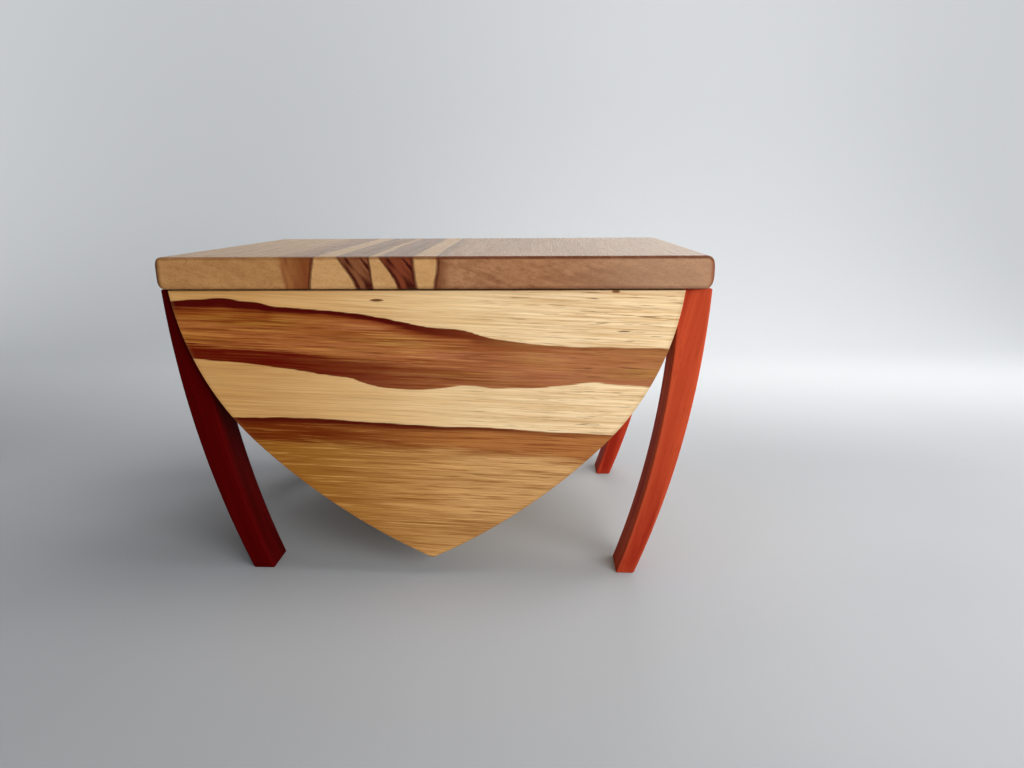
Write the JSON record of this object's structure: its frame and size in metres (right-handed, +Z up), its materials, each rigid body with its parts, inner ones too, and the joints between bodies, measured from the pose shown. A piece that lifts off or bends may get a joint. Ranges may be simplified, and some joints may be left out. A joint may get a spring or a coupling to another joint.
{
  "type": "footed keepsake box",
  "caption": "Boat-shaped plywood keepsake box with a pointed front panel, curved tapered legs and a thick flat lid hinged at the rear.",
  "frame": {"origin": "on the floor below the middle of the lid", "axes": "+X along the lid to the right, -Y towards the front panel, +Z up"},
  "size_m": [0.302, 0.19, 0.1874],
  "materials": {
    "figured_plywood": "oiled figured face veneer",
    "pale_plywood": "sanded bare plywood",
    "red_hardwood": "oiled red hardwood",
    "brown_lid_wood": "oiled brown hardwood",
    "streaked_lid_wood": "oiled cream and dark streaked hardwood",
    "plain_hardwood": "sanded plain hardwood",
    "brass": "drawn brass, lightly polished"
  },
  "bodies": {
    "box": {"front_panel": "figured_plywood", "back_panel": "figured_plywood", "front_former": "pale_plywood", "back_former": "pale_plywood", "left_side": "pale_plywood", "right_side": "pale_plywood", "keel": "plain_hardwood", "leg_front_left": "red_hardwood", "leg_front_right": "red_hardwood", "leg_rear_left": "red_hardwood", "leg_rear_right": "red_hardwood", "left_rail": "red_hardwood", "right_rail": "red_hardwood", "leg_tenons": "plain_hardwood", "hinge_left_body_leaf": "brass", "hinge_right_body_leaf": "brass", "hinge_left_pin": "brass", "hinge_right_pin": "brass", "hinge_body_screws": "brass"},
    "lid": {"lid_left_board": "brown_lid_wood", "lid_centre_board": "streaked_lid_wood", "lid_right_board": "brown_lid_wood", "hinge_left_lid_leaf": "brass", "hinge_right_lid_leaf": "brass", "hinge_lid_screws": "brass"}
  },
  "joints": [
    {"name": "lid_hinge", "type": "hinge", "parent": "box", "child": "lid", "pos_m": [0, 0.092, 0.16963], "axis": [-1, 0, 0], "range_deg": [0, 95]}
  ]
}
